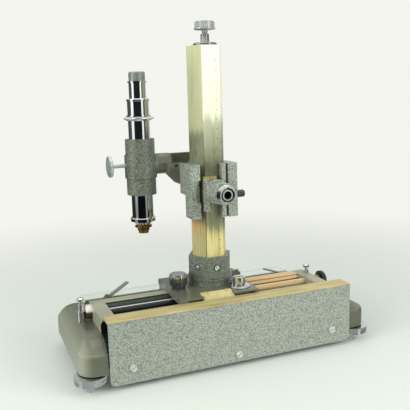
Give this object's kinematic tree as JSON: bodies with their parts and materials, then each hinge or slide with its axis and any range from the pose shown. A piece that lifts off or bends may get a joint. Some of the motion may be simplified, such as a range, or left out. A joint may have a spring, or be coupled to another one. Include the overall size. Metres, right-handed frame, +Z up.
{
  "type": "vernier microscope",
  "caption": "Travelling microscope on a heavy levelled bed, with a sliding column, scales and verniers, swivelling tube, stage glass with spring clips, and screw drives.",
  "frame": {"origin": "centre of the footprint on the table, midway between the levelling feet", "axes": "+Z up along the column, +X along the bed towards the handwheel, +Y from the front cover towards the stage glass"},
  "size_m": [0.3346, 0.1558, 0.3553],
  "materials": {
    "smooth_paint": "smooth gloss",
    "hammered_paint": "hammered gloss",
    "dark_paint": "satin",
    "plated_steel": "polished",
    "brushed_brass": "brushed, aged",
    "turned_brass": "turned",
    "spring_steel": "satin",
    "black_plastic": "gloss",
    "grey_plastic": "satin",
    "plate_glass": "clear polished",
    "lens_glass": "clear polished"
  },
  "bodies": {
    "bed": {"base_casting": "smooth_paint", "base_plate": "dark_paint", "base_plate_screws": "plated_steel", "bed_left_end": "smooth_paint", "bed_right_end": "smooth_paint", "bed_front_rail": "smooth_paint", "bed_rear_rail": "smooth_paint", "guide_rod": "plated_steel", "rod_post_left": "plated_steel", "rod_post_right": "plated_steel", "front_cover": "hammered_paint", "cover_screws": "plated_steel", "horizontal_scale": "brushed_brass", "screw_bearing": "turned_brass", "stage_glass": "plate_glass", "clip_screws": "plated_steel"},
    "front_left_foot": {"foot_left": "plated_steel"},
    "front_right_foot": {"foot_right": "plated_steel"},
    "back_foot": {"foot_rear": "plated_steel"},
    "left_thumb": {"thumb_screw_left": "plated_steel"},
    "right_thumb": {"thumb_screw_right": "plated_steel"},
    "screw": {"lead_screw": "plated_steel", "handwheel": "black_plastic"},
    "left_clip": {"clip_left": "spring_steel"},
    "right_clip": {"clip_right": "spring_steel"},
    "carriage": {"carriage_plate": "smooth_paint", "carriage_rear_block": "smooth_paint", "carriage_nut": "turned_brass", "horizontal_vernier": "brushed_brass", "vernier_screws": "plated_steel", "stop_lug": "smooth_paint", "knob_collar": "plated_steel", "column_socket": "hammered_paint", "socket_screws": "plated_steel", "column": "brushed_brass", "column_cap": "plated_steel"},
    "left_knob": {"left_clamp_knob": "plated_steel"},
    "right_knob": {"right_clamp_knob": "plated_steel"},
    "upright_screw": {"vertical_screw": "plated_steel", "top_knob": "plated_steel"},
    "slider": {"vertical_carriage": "hammered_paint", "slider_nut": "turned_brass", "vertical_vernier": "brushed_brass", "reader_strap": "hammered_paint", "reader_tube": "hammered_paint", "reader_lens": "lens_glass", "reader_ring": "plated_steel", "arm_bracket": "smooth_paint"},
    "slider_clamp": {"slider_clamp_screw": "spring_steel"},
    "holder": {"microscope_holder": "hammered_paint"},
    "tube_clamp": {"tube_clamp_knob": "plated_steel"},
    "tube": {"body_tube": "plated_steel", "tube_flange": "plated_steel", "eyepiece_adapter": "plated_steel", "nosepiece": "plated_steel", "objective": "turned_brass", "objective_lens": "lens_glass"},
    "eyepiece": {"draw_tube": "plated_steel", "eyepiece_cap": "grey_plastic", "eyepiece_lenses": "lens_glass"}
  },
  "joints": [
    {"name": "carriage_slide", "type": "slide", "parent": "bed", "child": "carriage", "axis": [1, 0, 0], "range_m": [-0.07, 0.078]},
    {"name": "lead_screw_turn", "type": "hinge", "parent": "bed", "child": "screw", "pos_m": [0, -0.02175, 0.062], "axis": [1, 0, 0], "range_deg": [-5700, 5700]},
    {"name": "vertical_slide", "type": "slide", "parent": "carriage", "child": "slider", "axis": [0, 0, 1], "range_m": [-0.043, 0.112]},
    {"name": "vertical_screw_turn", "type": "hinge", "parent": "carriage", "child": "upright_screw", "pos_m": [-0.0003, -0.00835, 0.2], "axis": [0, 0, 1], "range_deg": [-8200, 8200]},
    {"name": "microscope_swivel", "type": "hinge", "parent": "slider", "child": "holder", "pos_m": [-0.0673, 0.02125, 0.2076], "axis": [1, 0, 0], "range_deg": [-90, 90]},
    {"name": "tube_slide", "type": "slide", "parent": "holder", "child": "tube", "axis": [0, 0, 1], "range_m": [-0.018, 0.022]},
    {"name": "eyepiece_slide", "type": "slide", "parent": "tube", "child": "eyepiece", "axis": [0, 0, 1], "range_m": [-0.012, 0.011]},
    {"name": "tube_clamp_turn", "type": "hinge", "parent": "holder", "child": "tube_clamp", "pos_m": [-0.0973, 0.02125, 0.2076], "axis": [1, 0, 0], "continuous": true},
    {"name": "slider_clamp_turn", "type": "hinge", "parent": "slider", "child": "slider_clamp", "pos_m": [0.0277, -0.01375, 0.1723], "axis": [1, 0, 0], "continuous": true},
    {"name": "left_knob_turn", "type": "hinge", "parent": "carriage", "child": "left_knob", "pos_m": [-0.0414, -0.01425, 0.08], "axis": [0, 0, 1], "continuous": true},
    {"name": "right_knob_turn", "type": "hinge", "parent": "carriage", "child": "right_knob", "pos_m": [0.0211, -0.03605, 0.08], "axis": [0, 0, 1], "continuous": true},
    {"name": "left_thumb_turn", "type": "hinge", "parent": "bed", "child": "left_thumb", "pos_m": [-0.1462, -0.004, 0.07], "axis": [0, 0, 1], "continuous": true},
    {"name": "right_thumb_turn", "type": "hinge", "parent": "bed", "child": "right_thumb", "pos_m": [0.1224, -0.008, 0.075], "axis": [0, 0, 1], "continuous": true},
    {"name": "front_left_foot_turn", "type": "hinge", "parent": "bed", "child": "front_left_foot", "pos_m": [-0.1514, -0.062, 0.012], "axis": [0, 0, 1], "continuous": true},
    {"name": "front_right_foot_turn", "type": "hinge", "parent": "bed", "child": "front_right_foot", "pos_m": [0.1514, -0.062, 0.012], "axis": [0, 0, 1], "continuous": true},
    {"name": "back_foot_turn", "type": "hinge", "parent": "bed", "child": "back_foot", "pos_m": [0, 0.062, 0.012], "axis": [0, 0, 1], "continuous": true},
    {"name": "left_clip_swivel", "type": "hinge", "parent": "bed", "child": "left_clip", "pos_m": [-0.1069, 0.048, 0.057], "axis": [0, 0, 1], "range_deg": [-20, 55]},
    {"name": "right_clip_swivel", "type": "hinge", "parent": "bed", "child": "right_clip", "pos_m": [0.1236, 0.02955, 0.057], "axis": [0, 0, 1], "range_deg": [-60, 6]}
  ],
  "couplings": [
    {"joint": "lead_screw_turn", "follows": "carriage_slide", "rad_per_m": -1256.6},
    {"joint": "vertical_screw_turn", "follows": "vertical_slide", "rad_per_m": -1256.6}
  ]
}
